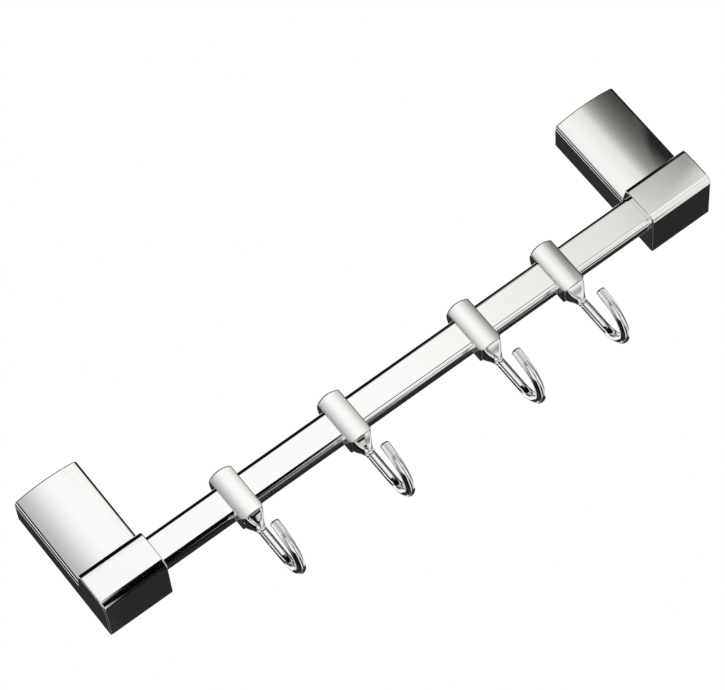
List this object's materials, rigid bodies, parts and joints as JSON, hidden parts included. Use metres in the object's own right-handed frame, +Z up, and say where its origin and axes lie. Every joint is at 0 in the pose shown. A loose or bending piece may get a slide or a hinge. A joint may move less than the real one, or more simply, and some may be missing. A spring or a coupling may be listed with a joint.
{
  "type": "hook rail",
  "caption": "Wall rail of polished metal: a flat rounded bar between two crowned brackets, carrying domed ring hooks that slide along it.",
  "frame": {"origin": "centre of the four wall screws' pattern, on the wall's face", "axes": "+X along the bar, +Y square into the wall, +Z up"},
  "size_m": [0.4, 0.0607, 0.1321],
  "materials": {
    "chrome": "polished",
    "plain_casting": "plain cast, dull",
    "screw_steel": "plated, satin",
    "plug_brass": "turned, plain"
  },
  "bodies": {
    "rail": {"bar": "chrome", "left_bracket": "chrome", "right_bracket": "chrome", "left_wall_plate": "plain_casting", "right_wall_plate": "plain_casting", "left_grub_screw": "screw_steel", "right_grub_screw": "screw_steel", "left_bar_plug": "plug_brass", "right_bar_plug": "plug_brass", "left_bar_screw": "screw_steel", "right_bar_screw": "screw_steel"},
    "hook_1": {"hook_1": "chrome"},
    "hook_2": {"hook_2": "chrome"},
    "hook_3": {"hook_3": "chrome"},
    "hook_4": {"hook_4": "chrome"}
  },
  "joints": [
    {"name": "hook_1_slide", "type": "slide", "parent": "rail", "child": "hook_1", "axis": [1, 0, 0], "range_m": [-0.0453, 0.0279]},
    {"name": "hook_2_slide", "type": "slide", "parent": "rail", "child": "hook_2", "axis": [1, 0, 0], "range_m": [-0.0279, 0.0356]},
    {"name": "hook_3_slide", "type": "slide", "parent": "rail", "child": "hook_3", "axis": [1, 0, 0], "range_m": [-0.0356, 0.0207]},
    {"name": "hook_4_slide", "type": "slide", "parent": "rail", "child": "hook_4", "axis": [1, 0, 0], "range_m": [-0.0207, 0.0479]}
  ]
}
